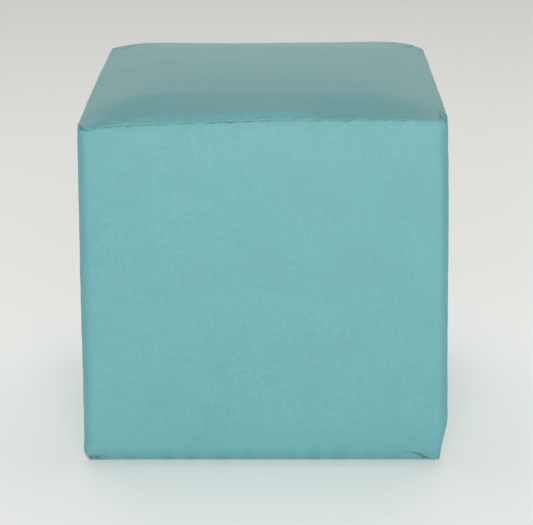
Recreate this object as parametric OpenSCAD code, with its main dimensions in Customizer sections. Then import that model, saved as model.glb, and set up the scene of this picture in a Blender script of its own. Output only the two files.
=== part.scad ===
// Upholstered cube ottoman: a plywood box on corner posts, padded with foam and batting,
// under a five-panel sewn vinyl cover that is pulled under the base and stapled.
// Millimetres, +Z up. The origin is on the floor below the middle, and the front faces -Y.

/* [Overall size] */
// Width over the cover, left to right
body_w = 430; // [380:5:480]
// Depth over the cover, front to back
body_d = 430; // [380:5:480]
// Height from the floor to the top of the crown
body_h = 445; // [410:1:480]
// Height of the seat's middle above its four corners
crown_h = 12; // [8:1:18]
// Radius of the padded upright edges
edge_r = 14; // [9:1:20]

/* [Cover and padding] */
// Thickness of the vinyl cover
cover_t = 1; // [0.8:0.1:1.2]
// Thickness of the polyester batting
batting_t = 4.5; // [3:0.5:6]
// Thickness of the foam on the sides
side_foam_t = 12; // [10:1:15]
// Thickness of the seat foam at its middle
seat_foam_t = 55; // [45:1:65]
// Width of the hem that is turned in under the base
hem_w = 42; // [38:1:46]

/* [Frame] */
// Thickness of the plywood side panels
panel_t = 12; // [12:1:15]
// Thickness of the plywood seat deck
deck_t = 15; // [12:1:18]
// Side of the square corner posts
post_w = 38; // [34:1:44]
// Thickness of the bottom rails and of the deck brace
rail_t = 20; // [18:1:24]
// Height of the bottom rails and of the deck brace
rail_h = 45; // [35:1:60]

/* [Underside] */
// Thickness of the non-woven dust cover
dust_t = 0.5; // [0.4:0.1:0.8]
// Distance from the cover's face to the dust cover's edge
dust_inset = 32; // [30:1:35]
// Height of the nylon glides
glide_h = 5; // [5:0.5:8]
// Radius of the nylon glides
glide_r = 12.5; // [10:0.5:14]

/* [Fasteners] */
// Radius of a screw's shank
screw_r = 1.75; // [1.5:0.05:2]
// Radius of a countersunk screw head
head_r = 3.75; // [3.25:0.05:4]
// Length of the screws in the side panels
panel_screw_l = 30; // [26:1:31]
// Length of the screws in the seat deck
deck_screw_l = 40; // [36:1:44]
// Length of the screws in the glides
glide_screw_l = 22; // [18:1:24]
// Width of a staple's crown
staple_w = 9; // [8:0.5:12]
// Length of a staple's legs
staple_l = 8; // [6:1:10]

/* [Hidden] */

$fn = 96;
dome_fn = 360;             // the crown is a small patch of a very large sphere
eps = 0.01;                // cutters reach this far past the face that they cut
hole_gap = 0.05;           // radial room round a screw's shank
ease_r = 2.5;              // rounding of the posts' and rails' long edges
wire_t = 0.55;             // thickness of staple wire
wire_w = 0.75;             // width of staple wire
head_rim = 0.4;            // straight rim of a screw head
head_h = 2.4;              // height of a whole screw head
drive_w = 0.9;             // width of a slot of the cross drive
drive_l = 4;               // length of a slot of the cross drive
drive_h = 1.3;             // depth of the cross drive
glide_recess = 1;          // depth of the screw head inside the glide
glide_rim = 1.5;           // chamfer round a glide's foot

// Sides, each as the turn about Z that brings the front to it
front = 0;
right = 90;
back = 180;
left = 270;
SIDES = [front, right, back, left];

vinyl = "#79b8bb";
foam = "#e9dfb4";
batting = "#f4f4f0";
plywood = "#d8bd8c";
softwood = "#e0c592";
steel = "#b9bcc0";
cambric = "#26272a";
nylon = "#1d1e20";

// Levels, from the floor up
dust_z = glide_h;                              // underside of the dust cover
hem_z = dust_z + dust_t;                       // underside of the turned-in hem
base_z = hem_z + cover_t;                      // underside of the frame
foam_in = cover_t + batting_t;                 // depth of the foam under the cover's face
deck_top = body_h - foam_in - seat_foam_t;
deck_z = deck_top - deck_t;                    // underside of the deck
frame_h = deck_z - base_z;                     // height of the panels and posts

// Plan sizes
padding = foam_in + side_foam_t;
frame_w = body_w - 2 * padding;
frame_d = body_d - 2 * padding;
corner_dist = norm([body_w, body_d]) / 2;
dome_r = (corner_dist * corner_dist + crown_h * crown_h) / (2 * crown_h);
post_in = panel_t + post_w / 2;                // from the frame's face to a post's middle

// Fastener places along a side, about its middle
cover_staple_x = [-175 : 25 : 175];
dust_staple_x = [-140 : 40 : 140];
rail_screw_x = [-80, 80];
deck_screw_x = [-100, 100];
brace_screw_y = [-90, 90];
brace_screw_drop = [12, 33];                   // below the deck
post_screw_z = [35, 165, 295];                 // above the frame's underside
post_screw_lift = 18;                          // the left and right screws pass over the others

// True for the front and the back, whose frame panels run the full width
function full_width(side) = side == front || side == back;
function along(side) = full_width(side) ? frame_w : frame_d;
function across(side) = full_width(side) ? frame_d : frame_w;
function screw_heights(side) =
    let (lift = full_width(side) ? 0 : post_screw_lift)
    [for (z = post_screw_z) base_z + z + lift];

// Brings a child to a side: x runs along it, y goes in from the frame's outer face
module on_side(side) {
    rotate([0, 0, side]) translate([0, -across(side) / 2, 0]) children();
}

// ---- Outer form ----

// Plan outline, this far inside the cover's outer face
module plan(inset) {
    w = body_w - 2 * inset;
    d = body_d - 2 * inset;
    r = edge_r - inset;
    square([w - 2 * r, d], center = true);
    square([w, d - 2 * r], center = true);
    for (x = [-1, 1], y = [-1, 1])
        translate([x * (w / 2 - r), y * (d / 2 - r)]) circle(r);
}

module prism(inset, z_low, z_high) {
    translate([0, 0, z_low]) linear_extrude(z_high - z_low) plan(inset);
}

// Crown of the seat, this far inside the cover's outer face
module dome(inset) {
    translate([0, 0, body_h - dome_r]) sphere(dome_r - inset, $fn = dome_fn);
}

// Layer of the crown between two depths, over the plan at the outer one
module crown_layer(outer, inner) {
    difference() {
        intersection() {
            prism(outer, deck_top, body_h + 1);
            dome(outer);
        }
        dome(inner);
    }
}

// Quarter of the plan that belongs to a side, mitred through the corners
module quarter(side) {
    reach_x = full_width(side) ? body_w : body_d;
    reach_y = full_width(side) ? body_d : body_w;
    rotate([0, 0, side]) linear_extrude(body_h)
        polygon([[0, 0], [-reach_x, -reach_y], [reach_x, -reach_y]]);
}

// ---- Fasteners ----

// Countersunk wood screw: its head's face at the origin, its tip down -Z
module screw(length) {
    tip = 4;
    difference() {
        rotate_extrude($fn = 32) polygon([
            [0, 0], [head_r, 0], [head_r, -head_rim], [screw_r, -head_h],
            [screw_r, tip - length], [0, -length]
        ]);
        for (turn = [0, 90])
            rotate([0, 0, turn]) translate([-drive_l / 2, -drive_w / 2, -drive_h])
                cube([drive_l, drive_w, drive_h + eps]);
    }
}

// Countersunk hole for that screw, open at the face
module screw_hole(length) {
    rotate_extrude($fn = 32) polygon([
        [0, eps], [head_r + hole_gap, eps], [head_r + hole_gap, -head_rim],
        [screw_r + hole_gap, -head_h], [screw_r + hole_gap, -length - hole_gap],
        [0, -length - hole_gap]
    ]);
}

// Legs of a staple, up +Z from its crown, and the slots that they make
module staple_legs() {
    for (x = [-staple_w / 2, staple_w / 2 - wire_t])
        translate([x, -wire_w / 2, -eps]) cube([wire_t, wire_w, staple_l + eps]);
}

// Staple: the upper face of its crown at the origin
module staple() {
    translate([-staple_w / 2, -wire_w / 2, -wire_t]) cube([staple_w, wire_w, wire_t]);
    staple_legs();
}

module at_cover_staples(side) {
    on_side(side) for (x = cover_staple_x) translate([x, panel_t / 2, hem_z]) children();
}

module at_dust_staples(side) {
    on_side(side) for (x = dust_staple_x)
        translate([x, panel_t + rail_t / 2, dust_z]) children();
}

// Screws through a side panel: into both posts, into its rail, and into the brace's end
module at_panel_screws(side) {
    on_side(side) {
        for (x = [-1, 1], z = screw_heights(side))
            translate([x * (along(side) / 2 - post_in), 0, z]) rotate([90, 0, 0]) children();
        for (x = rail_screw_x)
            translate([x, 0, base_z + rail_h / 2]) rotate([90, 0, 0]) children();
        if (full_width(side))
            for (drop = brace_screw_drop)
                translate([0, 0, deck_z - drop]) rotate([90, 0, 0]) children();
    }
}

module at_posts() {
    for (x = [-1, 1], y = [-1, 1])
        translate([x * (frame_w / 2 - post_in), y * (frame_d / 2 - post_in), 0]) children();
}

// Screws down through the deck: into the posts, the panels' edges and the brace
module at_deck_screws() {
    translate([0, 0, deck_top]) {
        at_posts() children();
        for (side = SIDES) on_side(side) for (x = deck_screw_x)
            translate([x, panel_t / 2, 0]) children();
        for (y = brace_screw_y) translate([0, y, 0]) children();
    }
}

module at_glide_screws() {
    translate([0, 0, glide_recess]) at_posts() rotate([180, 0, 0]) children();
}

module panel_screws() {
    color(steel) for (side = SIDES) at_panel_screws(side) screw(panel_screw_l);
}

module deck_screws() {
    color(steel) at_deck_screws() screw(deck_screw_l);
}

module glide_screws() {
    color(steel) at_glide_screws() screw(glide_screw_l);
}

module cover_staples() {
    color(steel) for (side = SIDES) at_cover_staples(side) staple();
}

module dust_staples() {
    color(steel) for (side = SIDES) at_dust_staples(side) staple();
}

// ---- Frame ----

// Timber with eased long edges, standing on z = 0
module timber(w, d, length) {
    linear_extrude(length) {
        square([w - 2 * ease_r, d], center = true);
        square([w, d - 2 * ease_r], center = true);
        for (x = [-1, 1], y = [-1, 1])
            translate([x * (w / 2 - ease_r), y * (d / 2 - ease_r)]) circle(ease_r, $fn = 32);
    }
}

// The front and back panels run the full width, and the side ones stand between them
module side_panel(side) {
    length = along(side) - (full_width(side) ? 0 : 2 * panel_t);
    color(plywood) difference() {
        on_side(side) translate([-length / 2, 0, base_z]) cube([length, panel_t, frame_h]);
        at_panel_screws(side) screw_hole(panel_screw_l);
        at_deck_screws() screw_hole(deck_screw_l);
        at_cover_staples(side) staple_legs();
    }
}

module seat_deck() {
    color(plywood) difference() {
        translate([-frame_w / 2, -frame_d / 2, deck_z]) cube([frame_w, frame_d, deck_t]);
        at_deck_screws() screw_hole(deck_screw_l);
    }
}

module corner_post(x, y) {
    color(softwood) difference() {
        translate([x * (frame_w / 2 - post_in), y * (frame_d / 2 - post_in), base_z])
            timber(post_w, post_w, frame_h);
        for (side = SIDES) at_panel_screws(side) screw_hole(panel_screw_l);
        at_deck_screws() screw_hole(deck_screw_l);
        at_glide_screws() screw_hole(glide_screw_l);
    }
}

module bottom_rail(side) {
    length = along(side) - 2 * (panel_t + post_w);
    color(softwood) difference() {
        on_side(side) translate([-length / 2, panel_t + rail_t / 2, base_z + rail_h / 2])
            rotate([90, 0, 90]) timber(rail_t, rail_h, length);
        at_panel_screws(side) screw_hole(panel_screw_l);
        at_dust_staples(side) staple_legs();
    }
}

module deck_brace() {
    length = frame_d - 2 * panel_t;
    color(softwood) difference() {
        translate([0, length / 2, deck_z - rail_h / 2])
            rotate([90, 0, 0]) timber(rail_t, rail_h, length);
        for (side = [front, back]) at_panel_screws(side) screw_hole(panel_screw_l);
        at_deck_screws() screw_hole(deck_screw_l);
    }
}

// ---- Padding ----

module seat_foam() {
    color(foam) intersection() {
        prism(foam_in, deck_top, body_h);
        dome(foam_in);
    }
}

// The front and back pads wrap the corners, and the side ones stand between them
module side_foam(side) {
    length = full_width(side) ? body_w : frame_d;
    color(foam) intersection() {
        prism(foam_in, base_z, deck_top);
        on_side(side) translate([-length / 2, -side_foam_t, base_z])
            cube([length, side_foam_t, deck_top - base_z]);
    }
}

module batting_top() {
    color(batting) crown_layer(cover_t, foam_in);
}

module batting_wrap() {
    color(batting) intersection() {
        difference() {
            prism(cover_t, base_z, body_h);
            prism(foam_in, base_z - 1, body_h + 1);
        }
        dome(foam_in);
    }
}

// ---- Cover ----

module cover_top() {
    color(vinyl) crown_layer(0, cover_t);
}

// Side panel of the cover, with its hem turned in under the frame
module cover_side(side) {
    color(vinyl) difference() {
        intersection() {
            prism(0, hem_z, body_h);
            dome(cover_t);
            quarter(side);
        }
        prism(cover_t, base_z, body_h + 1);
        translate([0, 0, hem_z - 1]) linear_extrude(cover_t + 2)
            square([body_w - 2 * hem_w, body_d - 2 * hem_w], center = true);
        at_cover_staples(side) staple_legs();
        at_dust_staples(side) staple_legs();
    }
}

// ---- Underside ----

module dust_cover() {
    w = body_w - 2 * dust_inset;
    d = body_d - 2 * dust_inset;
    color(cambric) difference() {
        translate([-w / 2, -d / 2, dust_z]) cube([w, d, dust_t]);
        for (side = SIDES) at_dust_staples(side) staple_legs();
        at_glide_screws() screw_hole(glide_screw_l);
    }
}

module glide(x, y) {
    color(nylon) difference() {
        translate([x * (frame_w / 2 - post_in), y * (frame_d / 2 - post_in), 0])
            rotate_extrude() polygon([
                [0, 0], [glide_r - glide_rim, 0], [glide_r, glide_rim],
                [glide_r, glide_h], [0, glide_h]
            ]);
        at_glide_screws() screw_hole(glide_screw_l);
        at_posts() translate([0, 0, -eps])
            cylinder(r = head_r + hole_gap, h = glide_recess + 2 * eps);
    }
}

cover_top();
cover_side(front);  // cover_front
cover_side(back);  // cover_back
cover_side(left);  // cover_left
cover_side(right);  // cover_right
batting_top();
batting_wrap();
seat_foam();
side_foam(front);  // foam_front
side_foam(back);  // foam_back
side_foam(left);  // foam_left
side_foam(right);  // foam_right
seat_deck();
side_panel(front);  // panel_front
side_panel(back);  // panel_back
side_panel(left);  // panel_left
side_panel(right);  // panel_right
corner_post(-1, -1);  // post_fl
corner_post(1, -1);  // post_fr
corner_post(-1, 1);  // post_bl
corner_post(1, 1);  // post_br
bottom_rail(front);  // rail_front
bottom_rail(back);  // rail_back
bottom_rail(left);  // rail_left
bottom_rail(right);  // rail_right
deck_brace();
panel_screws();
deck_screws();
cover_staples();
dust_cover();
dust_staples();
glide(-1, -1);  // glide_fl
glide(1, -1);  // glide_fr
glide(-1, 1);  // glide_bl
glide(1, 1);  // glide_br
glide_screws();
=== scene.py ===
import math

import bmesh
import bpy
import numpy as np
from mathutils import Matrix, Vector, noise
from mathutils.bvhtree import BVHTree


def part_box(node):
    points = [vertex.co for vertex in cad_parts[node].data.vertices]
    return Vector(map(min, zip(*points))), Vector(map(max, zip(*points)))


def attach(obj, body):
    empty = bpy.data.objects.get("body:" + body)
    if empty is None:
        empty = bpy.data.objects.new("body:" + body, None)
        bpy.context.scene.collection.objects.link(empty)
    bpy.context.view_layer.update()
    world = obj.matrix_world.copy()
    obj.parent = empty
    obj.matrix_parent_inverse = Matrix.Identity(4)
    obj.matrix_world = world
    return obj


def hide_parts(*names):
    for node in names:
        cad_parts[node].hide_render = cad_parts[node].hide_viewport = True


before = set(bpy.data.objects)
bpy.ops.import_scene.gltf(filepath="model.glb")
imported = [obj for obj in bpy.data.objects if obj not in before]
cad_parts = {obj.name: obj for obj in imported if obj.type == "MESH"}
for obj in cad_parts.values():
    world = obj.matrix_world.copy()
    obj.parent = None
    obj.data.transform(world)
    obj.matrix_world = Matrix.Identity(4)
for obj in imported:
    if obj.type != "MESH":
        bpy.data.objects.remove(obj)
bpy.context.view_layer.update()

bl_info = {
    "name": "Upholstered Cube Ottoman",
    "version": (1, 0, 0),
    "blender": (4, 5, 0),
    "location": "View3D > Sidebar > Ottoman",
    "description": "Sews, pads and finishes a vinyl cube ottoman around its frame",
    "category": "Object",
}

MM = 0.001
WAVES = 8                          # sine waves that add up to one ripple

# ---- Places that the frame gives ----

SEAT_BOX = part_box("cover_top")
FRONT_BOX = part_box("cover_front")
FOAM_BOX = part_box("seat_foam")
WRAP_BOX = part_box("batting_wrap")
DUST_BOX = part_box("dust_cover")
BASE_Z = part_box("panel_front")[0].z              # underside of the plywood box
HEM_Z = FRONT_BOX[0].z                           # underside of the turned-in hem
COVER_T = BASE_Z - HEM_Z                         # room for the cover under the box
HEM_W = FRONT_BOX[1].y - FRONT_BOX[0].y          # how far the hem runs in under the box
HALF_W, HALF_D = SEAT_BOX[1].x, SEAT_BOX[1].y
SETTLED = 3.5 * MM                               # how far the filling has sunk since it was new
CORNER_Z = SEAT_BOX[0].z + COVER_T - SETTLED     # where the three seams of a corner meet
BATTING_T = WRAP_BOX[1].x - FOAM_BOX[1].x        # thickness of the wadding
VINYL_T = 0.9 * COVER_T                          # and of the leathercloth
LAYER_GAP = 0.4 * MM                             # between one soft layer and the next


# ---- Small helpers ----

def srgb(code):
    """A hex colour as the linear colour that shaders take."""
    parts = [int(code[i:i + 2], 16) / 255 for i in (1, 3, 5)]
    return [c / 12.92 if c <= 0.04045 else ((c + 0.055) / 1.055) ** 2.4 for c in parts] + [1.0]


def smooth(low, high, x):
    """0 below low, 1 above high, and a smooth step between them."""
    t = np.clip((x - low) / (high - low), 0, 1)
    return t * t * (3 - 2 * t)


def shade_of(colour, share):
    """A linear colour made darker or lighter."""
    return [c * share for c in colour[:3]] + [1]


def ripple(points, size, seed):
    """Uneven waves of about -1 to 1 at each point, each about size long."""
    draw = np.random.default_rng(seed)
    total = np.zeros(len(points))
    for _ in range(WAVES):
        way = draw.normal(size=points.shape[1])
        way *= 2 * math.pi * draw.uniform(0.7, 1.5) / (size * np.linalg.norm(way))
        total += np.sin(points @ way + draw.uniform(0, 2 * math.pi))
    return total / math.sqrt(WAVES)


def add(tree, kind, links=None, values=None, **settings):
    """Adds a shader node with its settings, socket values and incoming links."""
    node = tree.nodes.new(kind)
    for name, value in settings.items():
        setattr(node, name, value)
    for socket, value in (values or {}).items():
        node.inputs[socket].default_value = value
    for socket, source in (links or {}).items():
        tree.links.new(source, node.inputs[socket])
    return node


def new_material(name, **values):
    """A material with its shader and its Object coordinates, ready for a pattern."""
    material = bpy.data.materials.new(name)
    material.use_nodes = True
    tree = material.node_tree
    shader = tree.nodes["Principled BSDF"]
    for socket, value in values.items():
        shader.inputs[socket.replace("_", " ")].default_value = value
    place = add(tree, "ShaderNodeTexCoord").outputs["Object"]
    return material, tree, shader, place


def finish_piece(obj, material):
    """Gives a piece its material and its body, and smooths its shading."""
    obj.data.materials.clear()
    obj.data.materials.append(material)
    obj.data.shade_smooth()
    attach(obj, "root")


def to_object(bm, name):
    """A bmesh as a new object at the origin."""
    mesh = bpy.data.meshes.new(name)
    bm.to_mesh(mesh)
    bm.free()
    obj = bpy.data.objects.new(name, mesh)
    bpy.context.scene.collection.objects.link(obj)
    return obj


def modify(obj, kind, **settings):
    """Adds a modifier with its settings."""
    modifier = obj.modifiers.new(kind.title(), kind)
    for name, value in settings.items():
        setattr(modifier, name, value)


# ---- Settings that a user would change ----

class OttomanCover(bpy.types.PropertyGroup):
    """Colour, grain and fit of the cover"""
    colour: bpy.props.StringProperty(
        name="Vinyl colour", description="Colour of the leathercloth", default="#6baeb3")
    grain: bpy.props.FloatProperty(
        name="Grain size", description="Width of a pebble of the embossed grain",
        default=1.6 * MM, min=0.5 * MM, max=4 * MM, subtype="DISTANCE", unit="LENGTH")
    edge_radius: bpy.props.FloatProperty(
        name="Edge radius", description="Radius of the padded upright edges",
        default=14 * MM, min=6 * MM, max=25 * MM, subtype="DISTANCE", unit="LENGTH")
    base_radius: bpy.props.FloatProperty(
        name="Base radius", description="Radius where the cover turns under the base",
        default=2.4 * MM, min=2 * MM, max=12 * MM, subtype="DISTANCE", unit="LENGTH")
    crown: bpy.props.FloatProperty(
        name="Crown", description="Height of the seat's middle above its corners",
        default=23 * MM, min=12 * MM, max=30 * MM, subtype="DISTANCE", unit="LENGTH")
    pucker: bpy.props.FloatProperty(
        name="Pucker", description="Depth of the gathers along the sewn seams",
        default=0.6 * MM, min=0, max=2 * MM, subtype="DISTANCE", unit="LENGTH")


class OttomanStage(bpy.types.PropertyGroup):
    """Floor, light and lens"""
    floor_colour: bpy.props.StringProperty(
        name="Floor colour", description="Colour of the studio floor", default="#f0f0ee")
    key_power: bpy.props.FloatProperty(
        name="Key light", description="Power of the large soft light in front",
        default=60, min=0, max=500, subtype="POWER", unit="POWER")
    lens: bpy.props.FloatProperty(
        name="Lens", description="Focal length of the camera",
        default=133.5, min=20, max=300, subtype="DISTANCE_CAMERA", unit="CAMERA")


# ---- Shape of the sewn cover ----

# Sides in the order front, right, back, left: outward direction, and the way along
OUTWARD = np.array([(0, -1), (1, 0), (0, 1), (-1, 0)], float)
ALONG = np.array([(1, 0), (0, 1), (1, 0), (0, 1)], float)
SIDE_NAMES = ("front", "right", "back", "left")
TOP = 4                            # the top panel's number, after those of the sides

# Corners in the order front left, front right, back right, back left
CORNER_SIGN = np.array([(-1, -1), (1, -1), (1, 1), (-1, 1)], float)
FIRST_CORNER = np.array([0, 1, 3, 0])            # the corner at each side's start
LAST_CORNER = np.array([1, 2, 2, 3])             # and at its end

# For each side: the side that it meets at its start and at its end, and which end of that
# one it meets
SIDE_BEFORE = np.array([3, 0, 3, 0])
SIDE_AFTER = np.array([1, 2, 1, 2])
MEETS_AT = np.array([-1, 1, 1, -1])

# How the top seam of each side lies: how far its middle bows up, how much of the top
# panel rolls over the edge, and where along the side, from -1 to 1, that roll runs
BOW = np.array([4.2, 2.6, 7.4, 1.4]) * MM
BOW_POWER = np.array([2, 2, 9, 2])               # how flat the bow's middle is
DROOP_POWER = np.array([1, 4, 4, 1])             # how close to its ends a lift or a droop stays
ROLL = np.array([11.5, 4, 2.5, 3]) * MM
ROLL_RUN = np.array([
    (-1.02, -0.58, 0.19, 0.37), (-0.80, -0.35, 0.30, 0.75),
    (-0.98, -0.75, 0.80, 0.99), (-0.60, -0.20, 0.40, 0.85)])
GATHER = np.array([1.0, 0.25, 0.5, 0.2])         # how strongly each seam is gathered

# For each corner: how far the seams' meeting is lifted, how far it lies outside the plan,
# how far the padding flares below it, how far up the base the tuck draws that in again,
# how much further in it goes, and how round the upright edge is there
LIFT = np.array([-5.6, 3.0, 3.4, 3.0]) * MM
SPREAD = np.array([1.0, 3.2, -1.6, -3.2]) * MM
FLARE = np.array([4.6, 6.8, 6.0, 6.0]) * MM
TUCK = np.array([16, 56, 34, 26]) * MM
DRAWN = np.array([1.8, 3.2, 2, 2]) * MM
ROUND = np.array([1.0, 0.9, 1.6, 0.4])

# Seam allowances that stand out as small ears: place in plan and above the corners' level,
# which way they are pushed, and how wide they are
EARS = (
    ((217.5, -203, 4), (1.2, 0, 3.0), 2.8),
    ((-213, 213, 4), (-1.2, 1.0, 1.8), 5.0),
    ((213, 205, 6), (1.2, 0.5, 0.6), 6.0),
)

# The top panel
ROLL_R = 4.5 * MM                   # radius of its turn over the foam's edge
ROLL_LEAN = math.radians(50)        # lean of the rolled strip
ROLL_ARC = math.pi / 2 - ROLL_LEAN
STRIP_SWELL = 0.7 * MM              # of the strip's middle
SETTLE = 82 * MM                    # how far in the top reaches its full crown
CROWN_FALL = 8 * MM                 # how far the crown falls to the middle of each edge
CORNER_FALL = (8 * MM, 3 * MM)      # and from there to the corners in front and behind
ROUND_FADE = (15 * MM, 90 * MM)     # how far in its outline's corners turn square

# The sides
BULGE = 2.2 * MM                    # of a side's middle
BULGE_RUN = 60 * MM                 # from the seam and the base to the full bulge
FOOT_RUN = 34 * MM                  # height over which the upright edges sharpen to the base
FOOT_ROUND = 0.15                   # share of their radius that is left there
LEAST_ROUND = 1.6 * MM
HEM_SHORT = 6 * MM                  # cut off the hem's raw edge

# The seams
SEAM_TILT = math.radians(38)        # which way they are pulled in
SEAM_TURN = 6 * MM                  # how far from a seam the cover still turns that way
SEAM_DEPTH, SEAM_W = 1.5 * MM, 1.1 * MM
LIP_DEPTH, LIP_W = 0.7 * MM, 9 * MM              # the broad dip under each top seam
GATHER_REACH = (8 * MM, 6 * MM)                  # of the gathers, down a side and in on the top
UPRIGHT_DEPTH, UPRIGHT_W = 0.35 * MM, 1.2 * MM   # the upright seams
PLEAT_DEPTH, PLEAT_W, PLEAT_RUN = 1.1 * MM, 6.5 * MM, 17 * MM    # by the corners of the hem
UNDER_DEPTH, UNDER_W = 4.2 * MM, 9 * MM          # how the layers below dip under a seam

# The mesh
COVER_GRID, PADDING_GRID = 220, 90  # faces across the top of the cover, and of the layers below
ROW_FINE, ROW_COARSE = 0.8 * MM, 4.2 * MM        # rows of a side by the seams, and between them
ROW_GROWTH, FINE_RUN = 0.06, 4 * MM
EVEN_SHARE = 0.35                   # how evenly the grid is spaced: 1 is evenly
TINY = 1e-12                        # keeps a division from being by zero


def stations(length, step_at):
    """Distances from 0 to length, each step as long as step_at says there."""
    found = [0.0]
    while found[-1] < length:
        found.append(found[-1] + step_at(found[-1]))
    return np.array(found) * length / found[-1]


def side_rows(face, turn):
    """Rows of a side panel, as distances down from its seam: close at the seam and the base."""
    low = face + turn

    def step(s):
        near = min(s, abs(s - low))
        return min(ROW_FINE + max(0, near - FINE_RUN) * ROW_GROWTH, ROW_COARSE)
    return stations(low + HEM_W - HEM_SHORT, step)


def graded(u):
    """Grid lines from -1 to 1, drawn together towards the seams."""
    return EVEN_SHARE * u + (1 - EVEN_SHARE) * np.sin(u * math.pi / 2)


def blank(across, rows):
    """A flat square grid with a skirt hanging from it: the top panel and its four sides.
    The face layer gives each face its panel's number."""
    bm = bmesh.new()
    bmesh.ops.create_grid(bm, x_segments=across, y_segments=across, size=1)
    rim = [e for e in bm.edges if e.is_boundary]
    made = bmesh.ops.extrude_edge_only(bm, edges=rim)["geom"]
    hanging = [g for g in made if isinstance(g, bmesh.types.BMVert)]
    bmesh.ops.translate(bm, verts=hanging, vec=(0, 0, -rows))
    upright = [e for e in bm.edges if e.verts[0].co.z != e.verts[1].co.z]
    bmesh.ops.subdivide_edges(bm, edges=upright, cuts=rows - 1, use_grid_fill=True)
    bmesh.ops.recalc_face_normals(bm, faces=bm.faces)
    panel = bm.faces.layers.int.new("panel")
    for face in bm.faces:
        x, y, z = face.calc_center_median()
        if z > -0.25:                            # the skirt's first row has its middle at -0.5
            face[panel] = TOP
        elif abs(y) > abs(x):
            face[panel] = 0 if y < 0 else 2
        else:
            face[panel] = 1 if x > 0 else 3
    return bm


def outline(side, t, half, radius):
    """Points and outward directions on a rounded square, t from -1 to 1 along each side."""
    straight = half - radius
    length = straight + radius * math.pi / 4
    run = np.abs(t) * length
    angle = np.clip((run - straight) / np.maximum(radius, TINY), 0, math.pi / 4)
    along = np.minimum(run, straight) + radius * np.sin(angle)
    out = half - radius + radius * np.cos(angle)
    outward, sideways = OUTWARD[side], ALONG[side] * np.sign(t)[:, None]
    points = outward * out[:, None] + sideways * along[:, None]
    normals = outward * np.cos(angle)[:, None] + sideways * np.sin(angle)[:, None]
    return points, normals, length


def corner_weights(xy):
    """How much of each corner a plan point has: 1 at that corner, and 1 in all."""
    share = 1 + CORNER_SIGN[None] * xy[:, None] / np.array([HALF_W, HALF_D])
    return np.clip(share[:, :, 0] * share[:, :, 1] / 4, 0, 1)


def flare(points):
    """Padding stands out from the frame towards the base, and is drawn in where it is tucked."""
    z = points[:, 2:3] - HEM_Z
    height = CORNER_Z - HEM_Z
    tuck = smooth(-4 * MM, TUCK, z)
    amount = SPREAD + FLARE * tuck * np.clip(1 - z / height, 0, 1) ** 0.9 - DRAWN * (1 - tuck)
    pull = corner_weights(points[:, :2])[:, :, None] * amount[:, :, None] * CORNER_SIGN[None]
    return pull.sum(1)


def crown(xy, height):
    """Height of the padded seat above its corners: nearly flat, and falling at the corners."""
    x, y = np.clip(xy[:, 0] / HALF_W, -1, 1), np.clip(xy[:, 1] / HALF_D, -1, 1)
    fall = np.where(y < 0, *CORNER_FALL) * (x * y) ** 6
    return height - CROWN_FALL * (x * x + y * y - x * x * y * y) - fall


def seam_line(side, t):
    """Height of the top seam above the corners, and the roll that the top panel has there."""
    near_first, near_last = ((1 - t) / 2) ** DROOP_POWER[side], ((1 + t) / 2) ** DROOP_POWER[side]
    level = LIFT[FIRST_CORNER[side]] * near_first + LIFT[LAST_CORNER[side]] * near_last
    bow = level + BOW[side] * (1 - np.abs(t) ** BOW_POWER[side])
    run = ROLL_RUN[side]
    roll = ROLL[side] * smooth(run[:, 0], run[:, 1], t) * (1 - smooth(run[:, 2], run[:, 3], t))
    return bow, roll


def edge_height(side, t):
    """Height above the corners where the top panel leaves the roll over its edge."""
    bow, roll = seam_line(side, t)
    return bow + roll * math.cos(ROLL_LEAN) + ROLL_R * (1 - math.sin(ROLL_LEAN))


def to_seams(side, t, plan, run):
    """Edge height that two neighbouring seams give the seat, nearer seam first, and how
    fully the seat has settled to its crown, from 0 at either seam to 1 past SETTLE."""
    near = np.maximum(run - np.abs((plan * OUTWARD[side]).sum(1)), 0)
    far = np.maximum(run - np.abs((plan * ALONG[side]).sum(1)), 0)
    inner = 1 - near / run
    next_side = np.where(t < 0, SIDE_BEFORE[side], SIDE_AFTER[side])
    next_t = MEETS_AT[side] * inner
    share = near ** 3 / (near ** 3 + far ** 3 + TINY)
    edge = (1 - share) * edge_height(side, t * inner) + share * edge_height(next_side, next_t)
    rise, rise_beside = (1 - (1 - np.clip(d / SETTLE, 0, 1)) ** 2 for d in (near, far))
    return edge, rise * rise_beside


def top_profile(share, roll, flat_run):
    """The top panel from its seam in: up the rolled strip, round its turn, and level. Gives
    how far along the panel, how far in and how far up each point lies, its turn, and how
    far along the level it is."""
    s = share * (roll + ROLL_R * ROLL_ARC + flat_run)
    turn = np.clip((s - roll) / ROLL_R, 0, ROLL_ARC)
    climb = np.minimum(s, roll)
    level = np.maximum(s - roll - ROLL_R * ROLL_ARC, 0)
    swell = STRIP_SWELL * np.sin(math.pi * np.clip(s / np.maximum(roll, 1 * MM), 0, 1))
    swell *= np.clip(roll / (3 * MM), 0, 1)
    inward = climb * math.sin(ROLL_LEAN) + level - swell
    inward += ROLL_R * (math.cos(ROLL_LEAN) - np.cos(ROLL_LEAN + turn))
    upward = climb * math.cos(ROLL_LEAN)
    upward += ROLL_R * (np.sin(ROLL_LEAN + turn) - math.sin(ROLL_LEAN))
    return s, inward, upward, turn, level


def side_profile(s, bow, base_r):
    """A side panel from its seam down, round the base and in along the hem. Gives how far in
    and how high each point lies, its turn, and how far past the upright face it is."""
    face = CORNER_Z - HEM_Z - base_r
    foot = HEM_Z + base_r
    bend = np.clip((s - face) / base_r, 0, math.pi / 2)
    hem = np.maximum(s - face - base_r * math.pi / 2, 0)
    inward = base_r * (1 - np.cos(bend)) + hem
    upright = foot + (CORNER_Z + bow - foot) * (1 - np.minimum(s, face) / face)
    height = np.where(s < face, upright, foot - base_r * np.sin(bend))
    return inward, height, bend, s - face


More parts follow.
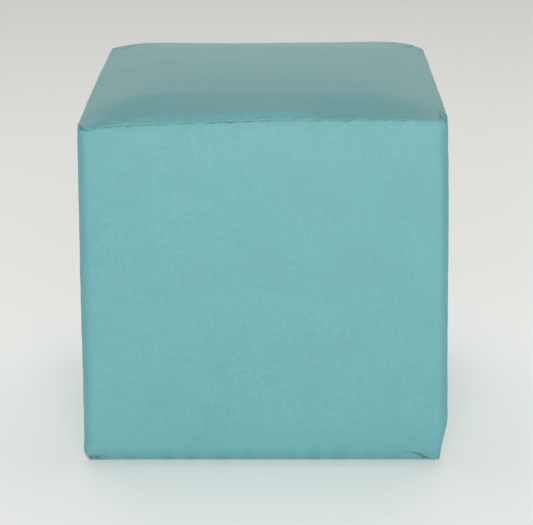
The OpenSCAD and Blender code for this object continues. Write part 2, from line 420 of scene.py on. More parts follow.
def corner_radius(side, t, skirt, set_in, height, s, edge_radius):
    """Radius of the plan's corners: sharp at the base, and turning square across the top."""
    corner = np.where(t < 0, FIRST_CORNER[side], LAST_CORNER[side])
    above_foot = smooth(0, FOOT_RUN, height - HEM_Z)
    kept = np.where(skirt, FOOT_ROUND + (1 - FOOT_ROUND) * above_foot, 1)
    own = edge_radius * ROUND[corner] * kept
    radius = np.where(skirt, np.maximum(own - set_in, LEAST_ROUND),
                      own * (1 - smooth(*ROUND_FADE, s)))
    return np.minimum(radius, HALF_W - set_in)


def gathers(tau, reach, seed):
    """Gathers along a seam: uneven waves 9 to 26 mm long that lean as they leave it."""
    line = np.column_stack([tau + 0.35 * reach, 0.2 * reach])
    broad = ripple(line, 26 * MM, seed)
    fine = ripple(line, 9 * MM, seed + 1)
    return broad + 0.8 * fine


def crease(points, path, width, lap):
    """How deep each point lies in a crease drawn along a path, from 0 at the path's start to
    full depth at its end. lap is how far the cloth on its left laps over as a soft ridge."""
    path = np.array(path) * MM
    steps = np.linalg.norm(np.diff(path, axis=0), axis=1)
    gone, near, depth = 0.0, np.full(len(points), np.inf), np.zeros(len(points))
    for a, b, step in zip(path[:-1], path[1:], steps):
        way = (b - a) / step
        share = np.clip(((points - a) @ way) / step, 0, 1)
        away = points - a - share[:, None] * (b - a)
        far = np.linalg.norm(away, axis=1)
        left = away[:, 1] * way[0] - away[:, 0] * way[1]
        strength = 0.25 + 0.75 * (gone + share * step) / steps.sum()
        # steep on the left, where the cloth laps over, and gentle on the right
        valley = np.exp(-(np.where(left > 0, 1.8, 0.7) * far / width) ** 2)
        ridge = lap * np.exp(-far / (3.5 * width)) * smooth(0, 1.2 * width, left)
        closer = far < near
        depth[closer] = (strength * (valley - ridge))[closer]
        near = np.minimum(near, far)
        gone += step
    return depth


# Creases and tucks of the sides: side, path as millimetres along the side and up from the
# hem, depth, width, lap
CREASES = (
    (0, ((168, 12), (182, 10.5), (192, 7), (198, 3.5), (202, 1.5)), 3.4, 1.5, 0.7),
    (0, ((-190, 10), (-196, 8), (-201, 6)), 1.6, 1.6, 0.6),
    (0, ((-206, 7), (-203.5, 4.8), (-199.5, 2.6)), 5.5, 1.8, 0.3),
    (0, ((-210.8, 5.4), (-209.4, 2.8)), 5.0, 1.5, 0.1),
    (0, ((-199, 415.5), (-211, 418)), 2.2, 1.4, 0.3),
    (0, ((118, 434), (106, 432), (97, 427)), 0.6, 2.0, 0.6),
    (1, ((-168, 14), (-182, 8), (-190, -2)), 1.8, 1.8, 0.4),
    (1, ((176, 11), (190, 7), (196, -2)), 2.0, 1.7, 0.4),
    (2, ((-199, 15), (-192, 8), (-186, -2)), 2.0, 1.8, 0.4),
    (2, ((172, 9), (190, 6), (200, -3)), 2.2, 1.6, 0.5),
    (3, ((-181, 9), (-190, 6), (-198, -3)), 1.8, 1.6, 0.4),
    (3, ((166, 13), (180, 9), (188, -2)), 1.8, 1.8, 0.4),
)

# Wrinkles of the top where the corners are bunched: path in plan millimetres, depth, width, lap
TOP_CREASES = (
    ((210, -176), (209.5, -190), (209.5, -212), 2.6, 1.5, 0.3),
    ((212, -184), (214, -192), (218, -206), 2.4, 1.4, 0.3),
    ((-207, -186), (-209, -200), (-209, -213), 0.9, 1.6, 0.2),
    ((190, 186), (198, 200), (204, 212), 1.2, 1.8, 0.3),
    ((-176, 200), (-190, 206), (-206, 210), 1.4, 1.8, 0.3),
)


def sewn_shape(grid, rows, cover, inset=0.0, detail=True):
    """Where each point of the blank goes, and how much painted shade it gets, from 0 to 1.
    grid is its place on the flat blank, with the skirt's row as minus z. inset and no detail
    give the same form further in and without folds, for the layers below."""
    flat = graded(np.clip(grid[:, :2], -1, 1))
    row = np.rint(-grid[:, 2]).astype(int)
    skirt = row > 0
    ring = np.abs(flat).max(1)
    tall = np.abs(flat[:, 1]) >= np.abs(flat[:, 0])
    side = np.where(tall, np.where(flat[:, 1] < 0, 0, 2), np.where(flat[:, 0] > 0, 1, 3))
    t = np.where(tall, flat[:, 0], flat[:, 1]) / np.maximum(ring, TINY)
    bow, roll = seam_line(side, t)

    flat_run = HALF_W - inset - roll * math.sin(ROLL_LEAN) - ROLL_R * math.cos(ROLL_LEAN)
    s_top, inward, upward, turn, level = top_profile(np.where(skirt, 0, 1 - ring), roll, flat_run)
    s_side = rows[row]
    down_in, side_z, bend, past_face = side_profile(s_side, bow, cover.base_radius)
    s = np.where(skirt, s_side, s_top)

    set_in = inset + np.where(skirt, down_in, inward)
    radius = corner_radius(side, t, skirt, set_in, side_z, s_top, cover.edge_radius)
    plan, normal, length = outline(side, t, HALF_W - set_in, radius)
    edge, settled = to_seams(side, t, plan, flat_run)
    # the rolled strip starts from its own seam, and the seat from the tops of all four
    edge = np.where(level > 0, edge, bow + upward)
    top_z = CORNER_Z + edge + (crown(plan, cover.crown) - edge) * settled
    points = np.column_stack([plan, np.where(skirt, side_z, top_z) - inset])
    points[:, :2] += flare(points)

    # the way each point faces
    near_seam = np.exp(-s / SEAM_TURN)
    tilt = np.where(skirt, -bend, ROLL_LEAN + turn)
    tilt = tilt + (SEAM_TILT - tilt) * near_seam
    facing = np.column_stack([normal * np.cos(tilt)[:, None], np.sin(tilt)])

    # how far each point is pushed out along the way it faces
    middle = (1 - t * t) * smooth(0, BULGE_RUN, s_side) * (1 - smooth(-BULGE_RUN, 0, past_face))
    push = np.where(skirt, BULGE * middle, 0)
    if not detail:
        push -= UNDER_DEPTH * np.exp(-s / UNDER_W)
        return points + facing * push[:, None], np.zeros(len(points))
    folds = creased(side, t, length, points, skirt)
    push += stitched(side, t, length, s, skirt, past_face, cover) + folds
    push += unevenness(points, skirt, past_face, near_seam)
    points += facing * push[:, None]
    # the second value is the painted shade of the seams, the base edge and the folds
    return points + ears(points), painted_shade(side, t, length, s, skirt, past_face, folds)


def stitched(side, t, length, s, skirt, past_face, cover):
    """How the seams draw the cover in, with gathers, and the pleats under the corners."""
    tau = (2 * side + t) * length
    uneven = 0.6 + 0.4 * ripple(tau[:, None], 90 * MM, seed=2)
    tight = 0.75 + 0.45 * ripple(tau[:, None], 16 * MM, seed=6)
    seam = -SEAM_DEPTH * tight * np.exp(-s / SEAM_W)
    lip = -LIP_DEPTH * np.exp(-s / LIP_W) * skirt
    waves = gathers(tau, s * np.where(skirt, 1, -1), seed=11)
    reach = np.where(skirt, *GATHER_REACH)
    pucker = cover.pucker * GATHER[side] * waves * uneven * np.exp(-s / reach)
    to_corner = (1 - np.abs(t)) * length
    upright = -UPRIGHT_DEPTH * np.exp(-to_corner / UPRIGHT_W) * skirt * smooth(0, 6 * MM, s)
    pleat = 0.5 + 0.5 * np.cos(2 * math.pi * to_corner / PLEAT_W + side)
    pleat *= np.exp(-(to_corner / PLEAT_RUN) ** 2)
    pleat *= smooth(-8 * MM, 6 * MM, past_face) * (1 - smooth(22 * MM, 30 * MM, past_face))
    return seam + lip + pucker + upright + PLEAT_DEPTH * pleat * skirt


def unevenness(points, skirt, past_face, near_seam):
    """Slow waves of the padding that show through the cover. The hem lies flat under the base."""
    broad = ripple(points, 120 * MM, seed=3) * 0.7 + ripple(points, 45 * MM, seed=9) * 0.25
    on_side = 1 - smooth(-6 * MM, 2 * MM, past_face)
    return MM * broad * np.where(skirt, 0.5 * on_side, 0.35) * (1 - 0.7 * near_seam)


def creased(side, t, length, points, skirt):
    """How the tucks at the base and the wrinkles by the seams draw the cover in."""
    drawn = np.zeros(len(points))
    place = np.column_stack([t * length, points[:, 2] - HEM_Z])
    for on, path, depth, width, lap in CREASES:
        here = skirt & (side == on)
        drawn[here] -= depth * MM * crease(place[here], path, width * MM, lap)
    for *path, depth, width, lap in TOP_CREASES:
        drawn[~skirt] -= depth * MM * crease(points[~skirt, :2], path, width * MM, lap)
    # the fold at the base stays straight under them
    return drawn * np.where(skirt, smooth(-0.2 * MM, 3.4 * MM, place[:, 1]), 1)


def painted_shade(side, t, length, s, skirt, past_face, folds):
    """Painted shade: darkens the seams, the edge at the base and the bottoms of the folds, where
    shade falls.
    """
    tau = (2 * side + t) * length
    patchy = 0.75 + 0.25 * ripple(tau[:, None], 30 * MM, seed=21)
    reach = np.where(skirt, 3.5 * MM, np.array([0.9, 2.4, 1.8, 0.9])[side] * MM)
    seam = 0.28 * patchy * np.exp(-s / reach)
    base = 0.28 * patchy * smooth(-20 * MM, 3 * MM, past_face) * skirt
    fold = np.clip(-folds / (4.5 * MM), 0, 1) ** 1.2
    return np.clip(seam + base + fold, 0, 1)


def ears(points):
    """Where three panels meet, their seam allowances bunch up and stand out."""
    move = np.zeros_like(points)
    for place, push, width in EARS:
        tip = np.array(place) * MM + np.array([0, 0, CORNER_Z])
        near = np.exp(-(np.linalg.norm(points - tip, axis=1) / (width * MM)) ** 2)
        move += near[:, None] * np.array(push) * MM
    return move


def shaped_blank(cover, across, inset=0.0, detail=True):
    """The blank with every point in its sewn place."""
    turn = cover.base_radius * math.pi / 2
    rows = side_rows(CORNER_Z - HEM_Z - cover.base_radius, turn)
    bm = blank(across, len(rows) - 1)
    grid = np.array([v.co for v in bm.verts])
    # painted shade for each point, which darkens the leathercloth's colour
    layer = bm.verts.layers.float.new("painted_shade_amount")
    for vert, place, painted_shade_amount in zip(bm.verts, *sewn_shape(grid, rows, cover, inset, detail)):
        vert.co = place
        vert[layer] = painted_shade_amount
    return bm


def cut_panel(bm, number, name):
    """One panel of the shaped blank as an object of its own."""
    panel = bm.copy()
    layer = panel.faces.layers.int["panel"]
    others = [f for f in panel.faces if f[layer] != number]
    bmesh.ops.delete(panel, geom=others, context="FACES")
    return to_object(panel, name)


class OTTOMAN_OT_cover(bpy.types.Operator):
    """Cuts, sews and pulls on the five panels of the vinyl cover"""
    bl_idname = "ottoman.cover"
    bl_label = "Sew the Cover"

    def execute(self, context):
        cover = context.scene.ottoman_cover
        vinyl = leathercloth(cover)
        bm = shaped_blank(cover, COVER_GRID)
        # each panel is cut with seam allowances, and the sides carry the hem as well
        for number, side in enumerate((*SIDE_NAMES, "top")):
            piece = cut_panel(bm, number, f"vinyl_{side}")
            modify(piece, "SOLIDIFY", thickness=VINYL_T, offset=-1)
            finish_piece(piece, vinyl)
            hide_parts(f"cover_{side}")
        bm.free()
        return {"FINISHED"}


# ---- Padding ----

FOAM_ROUND = 18 * MM               # how round the side foam is trimmed at the upright corners
FOAM_EASE = 1.2 * MM               # of the sawn edges
BAND_FOOT = BASE_Z + 24 * MM       # the wadding ends here, short of the cover's tuck


def foam_block(low, high, step, wear):
    """A block sawn from a sheet of foam: eased edges and a slightly uneven cut face."""
    bm = bmesh.new()
    bmesh.ops.create_cube(bm, size=1)
    size, middle = high - low, (high + low) / 2
    bmesh.ops.scale(bm, vec=size, verts=bm.verts)
    bmesh.ops.translate(bm, vec=middle, verts=bm.verts)
    bmesh.ops.bevel(bm, geom=bm.edges[:], offset=FOAM_EASE, segments=2, profile=0.5,
                    affect="EDGES", material=-1)
    for axis in range(3):
        cuts = int(size[axis] / step)
        for i in range(1, cuts):
            at = low.copy()
            at[axis] += size[axis] * i / cuts
            bmesh.ops.bisect_plane(bm, geom=bm.verts[:] + bm.edges[:] + bm.faces[:],
                                   plane_co=at, plane_no=[axis == k for k in range(3)])
    bm.normal_update()
    for vert in bm.verts:
        vert.co += vert.normal * wear * noise.noise(vert.co / (9 * MM))
    return bm


class OTTOMAN_OT_padding(bpy.types.Operator):
    """Puts the foam and the batting between the frame and the cover"""
    bl_idname = "ottoman.padding"
    bl_label = "Pad the Frame"

    def execute(self, context):
        cover = context.scene.ottoman_cover
        foam, batting = cut_foam(), polyester_batting()
        bm = shaped_blank(cover, PADDING_GRID, inset=COVER_T + LAYER_GAP, detail=False)
        self.seat(bm, foam)
        self.sides(foam)
        self.batting(bm, batting)
        return {"FINISHED"}

    def seat(self, skin, foam):
        """The crowned block of foam on the deck."""
        low, high = FOAM_BOX
        bm = foam_block(low, high, step=11 * MM, wear=0.3 * MM)
        tree = BVHTree.FromBMesh(skin)
        for vert in bm.verts:
            share = (vert.co.z - low.z) / (high.z - low.z)
            place, skin_z = Vector((vert.co.x, vert.co.y, 1)), 0
            # cut slightly small, and each corner moves in until the top panel covers it
            while skin_z < low.z + 20 * MM:
                hit = tree.ray_cast(place, Vector((0, 0, -1)))[0]
                skin_z = hit.z if hit else 0
                place.xy *= 0.996
            vert.co.xy = place.xy
            vert.co.z = low.z + share * (skin_z - BATTING_T - LAYER_GAP - low.z)
        piece = to_object(bm, "seat_foam_block")
        finish_piece(piece, foam)
        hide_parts("seat_foam")

    def sides(self, foam):
        """A pad of foam glued to each plywood side."""
        for side in SIDE_NAMES:
            low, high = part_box(f"foam_{side}")
            bm = foam_block(low, high, step=14 * MM, wear=0.25 * MM)
            place = np.array([v.co for v in bm.verts])
            axis = 1 if side in ("front", "back") else 0
            sign = -1 if side in ("front", "left") else 1
            outer = 1 if sign > 0 else 0
            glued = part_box(f"panel_{side}")[outer][axis]
            half = abs((low, high)[outer][axis])
            # the glued face stays on the plywood, and the rest follows the cover's flare
            share = np.clip((place[:, axis] - glued) * sign / (high - low)[axis], 0, 1)
            end = np.clip(np.abs(place[:, 1 - axis]) / half, 0, 1) ** 6
            follow = (share, end) if axis == 0 else (end, share)
            move = flare(place)[:, :2] * np.column_stack(follow)
            for vert, by, trim in zip(bm.verts, move, self.trimmed(place, half)):
                vert.co.xy += Vector(by + trim)
            piece = to_object(bm, f"side_foam_{side}")
            finish_piece(piece, foam)
            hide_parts(f"foam_{side}")

    def trimmed(self, place, half):
        """How far the foam is trimmed to round its upright corners under the wadding."""
        corner = np.sign(place[:, :2])
        beyond = np.abs(place[:, :2]) - (half - FOAM_ROUND)
        outside = np.linalg.norm(np.maximum(beyond, 0), axis=1)
        cut = np.maximum(outside - FOAM_ROUND, 0) / np.maximum(outside, TINY)
        return -corner * np.maximum(beyond, 0) * cut[:, None]

    def batting(self, bm, material):
        """Wadding laid over the seat, and a band of it round the sides."""
        loft = BATTING_T - 1.5 * LAYER_GAP
        top = cut_panel(bm, TOP, "batting_seat")
        modify(top, "SOLIDIFY", thickness=loft, offset=-1)
        finish_piece(top, material)
        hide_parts("batting_top")
        layer = bm.faces.layers.int["panel"]
        gone = [f for f in bm.faces
                if f[layer] == TOP or f.calc_center_median().z < BAND_FOOT]
        bmesh.ops.delete(bm, geom=gone, context="FACES")
        band = to_object(bm, "batting_band")
        modify(band, "SOLIDIFY", thickness=loft, offset=-1)
        finish_piece(band, material)
        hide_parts("batting_wrap")


# ---- Frame, fixings and underside ----

CAMBRIC_T = 0.45 * MM
CAMBRIC_SAG = 1.2 * MM             # of the dust cover's middle


class OTTOMAN_OT_frame(bpy.types.Operator):
    """Gives the plywood box, the posts and the rails their wood"""
    bl_idname = "ottoman.frame"
    bl_label = "Finish the Frame"

    def execute(self, context):
        ply = {axis: birch_plywood(axis) for axis in "XYZ"}
        pine = {axis: sawn_pine(axis) for axis in "XYZ"}
        wood = {"seat_deck": ply["Z"], "deck_brace": pine["Y"]}
        wood.update({f"panel_{s}": ply["Y" if s in ("front", "back") else "X"] for s in SIDE_NAMES})
        wood.update({f"rail_{s}": pine["X" if s in ("front", "back") else "Y"] for s in SIDE_NAMES})
        wood.update({f"post_{c}": pine["Z"] for c in ("fl", "fr", "bl", "br")})
        for name, material in wood.items():
            dress_node(name, material)
        return {"FINISHED"}


def dress_node(name, material):
    """Gives a CAD node its material."""
    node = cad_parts[name]
    node.data.materials.clear()
    node.data.materials.append(material)


class OTTOMAN_OT_fixings(bpy.types.Operator):
    """Finishes the screws and the staples"""
    bl_idname = "ottoman.fixings"
    bl_label = "Finish the Fixings"

    def execute(self, context):
        screw, wire = zinc_plate(), galvanised_wire()
        for name in ("panel_screws", "deck_screws", "glide_screws"):
            dress_node(name, screw)
        for name in ("cover_staples", "dust_staples"):
            dress_node(name, wire)
        return {"FINISHED"}


class OTTOMAN_OT_underside(bpy.types.Operator):
    """Stretches the dust cover over the base and finishes the glides"""
    bl_idname = "ottoman.underside"
    bl_label = "Close the Underside"

    def execute(self, context):
        low, high = DUST_BOX
        bm = bmesh.new()
        bmesh.ops.create_grid(bm, x_segments=120, y_segments=120, size=0.5)
        bmesh.ops.scale(bm, vec=(high.x - low.x, high.y - low.y, 1), verts=bm.verts)
        rim = HALF_W - HEM_W
        for vert in bm.verts:
            x, y = vert.co.x, vert.co.y
            inside = max(0.0, 1 - (max(abs(x), abs(y)) / rim) ** 4)
            wave = 0.5 * MM * noise.noise(Vector((x, y, 0)) / (60 * MM))
            vert.co.z = high.z - (CAMBRIC_SAG + wave) * inside
        sheet = to_object(bm, "cambric_sheet")
        modify(sheet, "SOLIDIFY", thickness=CAMBRIC_T, offset=-1)
        finish_piece(sheet, spunbond_cambric())
        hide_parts("dust_cover")
        nylon = moulded_nylon()
        for corner in ("fl", "fr", "bl", "br"):
            dress_node(f"glide_{corner}", nylon)
        return {"FINISHED"}


# ---- Materials ----

def leathercloth(cover):
    """Expanded PVC on a knitted back, embossed with a fine pebble grain and satin lacquered:
    one even colour, a broad soft sheen, and a highlight that the grain breaks up. Painted
    shade darkens it in the seams, along the base and in the folds."""
    material, tree, shader, place = new_material(
        "expanded_pvc_embossed", Roughness=0.46, IOR=1.5)
    cloud = add(tree, "ShaderNodeTexNoise", {"Vector": place},
                {"Scale": 1 / (60 * MM), "Detail": 4, "Roughness": 0.6})
    mottle = add(tree, "ShaderNodeTexNoise", {"Vector": place},
                 {"Scale": 1 / (6 * MM), "Detail": 6, "Roughness": 0.9})
    both = add(tree, "ShaderNodeMix", {"A": cloud.outputs["Fac"], "B": mottle.outputs["Fac"]},
               {"Factor": 0.75})
    spread = add(tree, "ShaderNodeMapRange", {"Value": both.outputs["Result"]},
                 {"From Min": 0.35, "From Max": 0.65})
    base = srgb(cover.colour)
    tint = add(tree, "ShaderNodeMix", {"Factor": spread.outputs[0]},
               {"A": shade_of(base, 0.91), "B": shade_of(base, 1.09)}, data_type="RGBA")
    # painted shade: the seams, the edge at the base and the bottoms of the folds are darkened
    # towards grey
    painted_shade_amount = add(tree, "ShaderNodeAttribute", attribute_name="painted_shade_amount")
    shaded_tint = add(tree, "ShaderNodeMix", {"Factor": painted_shade_amount.outputs["Fac"], "A": tint.outputs["Result"]},
                {"B": srgb("#6b6c69")}, data_type="RGBA", blend_type="MULTIPLY")
    # a pebble is 1 mm on the real cloth; it is drawn coarser so that it shows
    pebble = add(tree, "ShaderNodeTexVoronoi", {"Vector": place}, {"Scale": 1 / cover.grain},
                 feature="SMOOTH_F1")
    fine = add(tree, "ShaderNodeTexNoise", {"Vector": place},
               {"Scale": 0.5 / cover.grain, "Detail": 3})
    height = add(tree, "ShaderNodeMath", {0: pebble.outputs["Distance"], 1: fine.outputs["Fac"]},
                 operation="ADD")
    emboss = add(tree, "ShaderNodeBump", {"Height": height.outputs[0]},
                 {"Strength": 0.5, "Distance": 0.26 * MM})
    # the batting's unevenness shows through as shallow dimples
    uneven = add(tree, "ShaderNodeTexNoise", {"Vector": place},
                 {"Scale": 1 / (9 * MM), "Detail": 4, "Roughness": 0.8})
    bump = add(tree, "ShaderNodeBump",
               {"Height": uneven.outputs["Fac"], "Normal": emboss.outputs["Normal"]},
               {"Strength": 0.6, "Distance": 1.5 * MM})
    gloss = add(tree, "ShaderNodeMapRange", {"Value": cloud.outputs["Fac"]},
                {"To Min": 0.42, "To Max": 0.50})
    tree.links.new(shaded_tint.outputs["Result"], shader.inputs["Base Color"])
    tree.links.new(gloss.outputs[0], shader.inputs["Roughness"])
    tree.links.new(bump.outputs[0], shader.inputs["Normal"])
    return material


def cut_foam():
    """Polyurethane foam sawn from a slab: cream with patches about 70 mm wide that have
    yellowed, matt, and open cells about a millimetre wide."""
    material, tree, shader, place = new_material("polyurethane_foam_sawn", Roughness=0.95)
    cells = add(tree, "ShaderNodeTexVoronoi", {"Vector": place}, {"Scale": 1 / (1.1 * MM)})
    age = add(tree, "ShaderNodeTexNoise", {"Vector": place}, {"Scale": 14, "Detail": 3})
    tone = add(tree, "ShaderNodeMix", {"Factor": age.outputs["Fac"]},
               {"A": srgb("#efe6bd"), "B": srgb("#dfcf9b")}, data_type="RGBA")
    # painted shade: each open cell is darker towards its middle, where it is deepest
    painted_pit_shade = add(tree, "ShaderNodeMapRange", {"Value": cells.outputs["Distance"]},
               {"From Max": 0.6, "To Min": 0.72, "To Max": 1.0})
    shade = add(tree, "ShaderNodeMix", {"A": tone.outputs["Result"], "B": painted_pit_shade.outputs[0]},
                {"Factor": 1.0}, data_type="RGBA", blend_type="MULTIPLY")
    bump = add(tree, "ShaderNodeBump", {"Height": cells.outputs["Distance"]},
               {"Strength": 0.6, "Distance": 0.5 * MM})
    tree.links.new(shade.outputs["Result"], shader.inputs["Base Color"])
    tree.links.new(bump.outputs[0], shader.inputs["Normal"])
    return material


def polyester_batting():
    """Carded polyester wadding: white, lofty, and streaked with crimped fibres."""
    material, tree, shader, place = new_material(
        "polyester_wadding_carded", Roughness=0.9, Sheen_Weight=0.4)
    turned = add(tree, "ShaderNodeMapping", {"Vector": place}, {"Scale": (1, 1, 5)})
    fibre = add(tree, "ShaderNodeTexNoise", {"Vector": turned.outputs[0]},
                {"Scale": 1 / (4 * MM), "Detail": 6, "Roughness": 0.7, "Distortion": 1.5})
    tone = add(tree, "ShaderNodeMix", {"Factor": fibre.outputs["Fac"]},
               {"A": srgb("#dcdcd8"), "B": srgb("#fbfbf8")}, data_type="RGBA")
    bump = add(tree, "ShaderNodeBump", {"Height": fibre.outputs["Fac"]},
               {"Strength": 0.8, "Distance": 1.2 * MM})
    tree.links.new(tone.outputs["Result"], shader.inputs["Base Color"])
    tree.links.new(bump.outputs[0], shader.inputs["Normal"])
    return material


def birch_plywood(axis):
    """Birch plywood, rotary cut and sawn: pale flowing grain on its faces, and plies about
    1.4 mm thick in turn light and dark along its edges. axis is its thickness."""
    material, tree, shader, place = new_material(f"birch_plywood_{axis.lower()}", Roughness=0.6)
    split = add(tree, "ShaderNodeSeparateXYZ", {"Vector": place})
    layers = add(tree, "ShaderNodeMath", {0: split.outputs[axis]}, {1: 1 / (2.8 * MM)},
                 operation="MULTIPLY")
    turn = add(tree, "ShaderNodeMath", {0: layers.outputs[0]}, {1: 2 * math.pi},
               operation="MULTIPLY")
    wave = add(tree, "ShaderNodeMath", {0: turn.outputs[0]}, operation="SINE")
    ply = add(tree, "ShaderNodeMapRange", {"Value": wave.outputs[0]},
              {"From Min": -0.25, "From Max": 0.25})
    stretch = {"X": (9, 9, 0.9), "Y": (9, 9, 0.9), "Z": (0.9, 9, 9)}[axis]
    along = add(tree, "ShaderNodeMapping", {"Vector": place}, {"Scale": stretch})
    grain = add(tree, "ShaderNodeTexNoise", {"Vector": along.outputs[0]},
                {"Scale": 6, "Detail": 8, "Roughness": 0.65, "Distortion": 1.2})
    face = add(tree, "ShaderNodeMix", {"Factor": grain.outputs["Fac"]},
               {"A": srgb("#e6cfa4"), "B": srgb("#c9a673")}, data_type="RGBA")
    edge = add(tree, "ShaderNodeMix", {"A": face.outputs["Result"], "Factor": ply.outputs[0]},
               {"B": srgb("#c8b091")}, data_type="RGBA", blend_type="MULTIPLY")
    bump = add(tree, "ShaderNodeBump", {"Height": grain.outputs["Fac"]},
               {"Strength": 0.25, "Distance": 0.2 * MM})
    tree.links.new(edge.outputs["Result"], shader.inputs["Base Color"])
    tree.links.new(bump.outputs[0], shader.inputs["Normal"])
    return material


def sawn_pine(axis):
    """Planed pine: yellow early wood and narrow brown late wood 3 mm apart, with soft
    streaks along the grain. axis is the way the grain runs."""
    material, tree, shader, place = new_material(f"pine_planed_{axis.lower()}", Roughness=0.55)
    stretch = [1.0, 1.0, 1.0]
    stretch["XYZ".index(axis)] = 0.06
    along = add(tree, "ShaderNodeMapping", {"Vector": place},
                {"Scale": stretch, "Location": (0.031, 0.047, 0.023)})
    rings = add(tree, "ShaderNodeTexWave", {"Vector": along.outputs[0]},
                {"Scale": 1 / (3 * MM) / 3.2, "Distortion": 3.5, "Detail": 3, "Detail Scale": 0.6},
                wave_type="RINGS", rings_direction=axis, wave_profile="SAW")
    fibre = add(tree, "ShaderNodeTexNoise", {"Vector": along.outputs[0]},
                {"Scale": 1 / (1.5 * MM), "Detail": 4})
    tone = add(tree, "ShaderNodeMix", {"Factor": rings.outputs["Fac"]},
               {"A": srgb("#ecd5a3"), "B": srgb("#c99a5e")}, data_type="RGBA")
    bump = add(tree, "ShaderNodeBump", {"Height": fibre.outputs["Fac"]},
               {"Strength": 0.2, "Distance": 0.2 * MM})
    tree.links.new(tone.outputs["Result"], shader.inputs["Base Color"])
    tree.links.new(bump.outputs[0], shader.inputs["Normal"])
    return material


def zinc_plate():
    """Bright zinc plate over steel: a cool grey metal with a slightly clouded shine."""
    material, tree, shader, place = new_material("steel_zinc_plated", Metallic=1.0, Roughness=0.32)
    cloud = add(tree, "ShaderNodeTexNoise", {"Vector": place},
                {"Scale": 1 / (2 * MM), "Detail": 4})
    tone = add(tree, "ShaderNodeMix", {"Factor": cloud.outputs["Fac"]},
               {"A": srgb("#b4b9c0"), "B": srgb("#d5d8da")}, data_type="RGBA")
    gloss = add(tree, "ShaderNodeMapRange", {"Value": cloud.outputs["Fac"]},
                {"To Min": 0.24, "To Max": 0.42})
    tree.links.new(tone.outputs["Result"], shader.inputs["Base Color"])
    tree.links.new(gloss.outputs[0], shader.inputs["Roughness"])
    return material


def galvanised_wire():
    """Drawn and galvanised staple wire: dull silver with fine lines along the wire."""
    material, tree, shader, place = new_material(
        "wire_galvanised_drawn", Metallic=1.0, Roughness=0.4)
    lines = add(tree, "ShaderNodeTexNoise", {"Vector": place},
                {"Scale": 1 / (0.3 * MM), "Detail": 2})
    tone = add(tree, "ShaderNodeMix", {"Factor": lines.outputs["Fac"]},
               {"A": srgb("#a3a7ab"), "B": srgb("#cdcfd0")}, data_type="RGBA")
    bump = add(tree, "ShaderNodeBump", {"Height": lines.outputs["Fac"]},
               {"Strength": 0.2, "Distance": 0.05 * MM})
    tree.links.new(tone.outputs["Result"], shader.inputs["Base Color"])
    tree.links.new(bump.outputs[0], shader.inputs["Normal"])
    return material


def spunbond_cambric():
    """Spunbonded polypropylene cambric: black, dry, and dimpled by its bond points."""
    material, tree, shader, place = new_material("polypropylene_spunbond", Roughness=0.85)
    # bond points are 1 mm apart; they are drawn 2 mm apart so that they show
    dots = add(tree, "ShaderNodeTexVoronoi", {"Vector": place},
               {"Scale": 1 / (2 * MM), "Randomness": 0.15})
    fibre = add(tree, "ShaderNodeTexNoise", {"Vector": place},
                {"Scale": 1 / (3 * MM), "Detail": 6, "Distortion": 2})
    tone = add(tree, "ShaderNodeMix", {"Factor": fibre.outputs["Fac"]},
               {"A": srgb("#1c1d1f"), "B": srgb("#38393c")}, data_type="RGBA")
    bump = add(tree, "ShaderNodeBump", {"Height": dots.outputs["Distance"]},
               {"Strength": 0.5, "Distance": 0.2 * MM})
    tree.links.new(tone.outputs["Result"], shader.inputs["Base Color"])
    tree.links.new(bump.outputs[0], shader.inputs["Normal"])
    return material


def moulded_nylon():
    """Injection moulded nylon: nearly black, satin, with light scuffs from the floor."""
    material, tree, shader, place = new_material("nylon_moulded", Roughness=0.42)
    scuff = add(tree, "ShaderNodeTexNoise", {"Vector": place},
                {"Scale": 1 / (5 * MM), "Detail": 6, "Roughness": 0.7})
    tone = add(tree, "ShaderNodeMix", {"Factor": scuff.outputs["Fac"]},
               {"A": srgb("#151618"), "B": srgb("#2c2d30")}, data_type="RGBA")
    gloss = add(tree, "ShaderNodeMapRange", {"Value": scuff.outputs["Fac"]},
                {"To Min": 0.32, "To Max": 0.55})
    tree.links.new(tone.outputs["Result"], shader.inputs["Base Color"])
    tree.links.new(gloss.outputs[0], shader.inputs["Roughness"])
    return material


def painted_floor(colour):
    """Matt emulsion on a studio floor: pale and even, with very faint clouds half a metre
    wide. It glows a little, as a floor that is lit from all round does."""
    material, tree, shader, place = new_material(
        "floor_matt_emulsion", Roughness=0.75, Emission_Strength=0.32)
    cloud = add(tree, "ShaderNodeTexNoise", {"Vector": place}, {"Scale": 2, "Detail": 3})
    base = srgb(colour)
    tone = add(tree, "ShaderNodeMix", {"Factor": cloud.outputs["Fac"]},
               {"A": shade_of(base, 0.99), "B": base}, data_type="RGBA")
    tree.links.new(tone.outputs["Result"], shader.inputs["Base Color"])
    shader.inputs["Emission Color"].default_value = base
    return material


# ---- Stage ----

# Softboxes: place, width, and share of the key light's power
SOFTBOXES = {"key": ((0.1, -3.4, 1.1), 1.8, 1), "top": ((0, 0.6, 3.0), 2.6, 0.49)}
CAMERA_PLACE = (0.043, -HALF_D - 2.24, 0.964)
CAMERA_TURN = (0.97, -17.46, -0.44)              # yaw, pitch and roll, in degrees


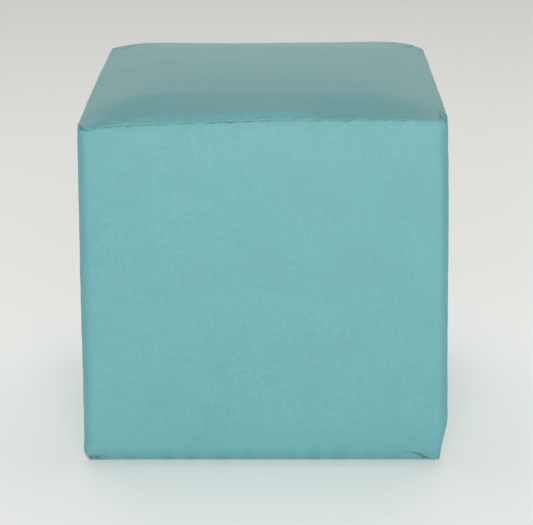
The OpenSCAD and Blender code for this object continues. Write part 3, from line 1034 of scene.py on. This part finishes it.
class OTTOMAN_OT_stage(bpy.types.Operator):
    """Sets up the pale floor, the soft lights and the camera"""
    bl_idname = "ottoman.stage"
    bl_label = "Set the Stage"

    def execute(self, context):
        stage = context.scene.ottoman_stage
        self.floor(stage)
        self.lights(context.scene, stage)
        self.camera(context.scene, stage)
        context.scene.view_settings.view_transform = "Standard"
        return {"FINISHED"}

    def floor(self, stage):
        """A floor that runs to the horizon."""
        bm = bmesh.new()
        bmesh.ops.create_circle(bm, cap_ends=True, segments=128, radius=40)
        floor = to_object(bm, "studio_floor")
        floor.data.materials.append(painted_floor(stage.floor_colour))

    def lights(self, scene, stage):
        """Two softboxes and the light of the studio's walls."""
        for name, (place, size, share) in SOFTBOXES.items():
            self.softbox(name, place, size, stage.key_power * share)
        world = bpy.data.worlds.new("studio")
        world.use_nodes = True
        scene.world = world
        tree = world.node_tree
        place = add(tree, "ShaderNodeTexCoord")
        split = add(tree, "ShaderNodeSeparateXYZ", {"Vector": place.outputs["Generated"]})
        # the walls are bright, most of all the one behind, and the ceiling is dim
        fade = add(tree, "ShaderNodeValToRGB", {"Fac": split.outputs["Z"]})
        ramp = fade.color_ramp
        ramp.elements[0].position, ramp.elements[0].color = 0.34, (1.28, 1.27, 1.14, 1)
        ramp.elements[1].position, ramp.elements[1].color = 0.54, (0.25, 0.25, 0.25, 1)
        behind = add(tree, "ShaderNodeMapRange", {"Value": split.outputs["Y"]},
                     {"To Min": 0.32, "To Max": 1.06})
        back = tree.nodes["Background"]
        tree.links.new(fade.outputs["Color"], back.inputs["Color"])
        tree.links.new(behind.outputs[0], back.inputs["Strength"])

    def softbox(self, name, place, size, power):
        """A square light that faces the ottoman."""
        data = bpy.data.lights.new(name, "AREA")
        data.size, data.energy = size, power
        lamp = bpy.data.objects.new(name, data)
        lamp.location = place
        aim = Vector((0, 0, 0.2)) - lamp.location
        lamp.rotation_euler = aim.to_track_quat("-Z", "Y").to_euler()
        bpy.context.scene.collection.objects.link(lamp)

    def camera(self, scene, stage):
        """A long lens in front, a little above the seat and turned down."""
        data = bpy.data.cameras.new("camera")
        data.lens, data.sensor_width = stage.lens, 36
        camera = bpy.data.objects.new("camera", data)
        scene.collection.objects.link(camera)
        yaw, pitch, roll = (math.radians(angle) for angle in CAMERA_TURN)
        turn = Matrix.Rotation(yaw, 4, "Z") @ Matrix.Rotation(math.pi / 2 + pitch, 4, "X")
        camera.matrix_world = (Matrix.Translation(CAMERA_PLACE) @ turn
                               @ Matrix.Rotation(roll, 4, "Z"))
        scene.camera = camera


# ---- Add-on ----

OPERATORS = (OTTOMAN_OT_stage, OTTOMAN_OT_cover, OTTOMAN_OT_padding, OTTOMAN_OT_frame,
             OTTOMAN_OT_fixings, OTTOMAN_OT_underside)


class OTTOMAN_PT_panel(bpy.types.Panel):
    """Lists the settings and the steps in the sidebar"""
    bl_label = "Ottoman"
    bl_space_type = "VIEW_3D"
    bl_region_type = "UI"
    bl_category = "Ottoman"

    def draw(self, context):
        for group in (context.scene.ottoman_cover, context.scene.ottoman_stage):
            box = self.layout.box()
            for name in group.__annotations__:
                box.prop(group, name)
        for operator in OPERATORS:
            self.layout.operator(operator.bl_idname)


CLASSES = (OttomanCover, OttomanStage, *OPERATORS, OTTOMAN_PT_panel)


def register():
    for cls in CLASSES:
        bpy.utils.register_class(cls)
    bpy.types.Scene.ottoman_cover = bpy.props.PointerProperty(type=OttomanCover)
    bpy.types.Scene.ottoman_stage = bpy.props.PointerProperty(type=OttomanStage)


def unregister():
    del bpy.types.Scene.ottoman_stage
    del bpy.types.Scene.ottoman_cover
    for cls in reversed(CLASSES):
        bpy.utils.unregister_class(cls)


def main():
    """Makes the ottoman and its stage."""
    register()
    bpy.ops.ottoman.stage()
    bpy.ops.ottoman.cover()
    bpy.ops.ottoman.padding()
    bpy.ops.ottoman.frame()
    bpy.ops.ottoman.fixings()
    bpy.ops.ottoman.underside()


if __name__ == "__main__":
    main()
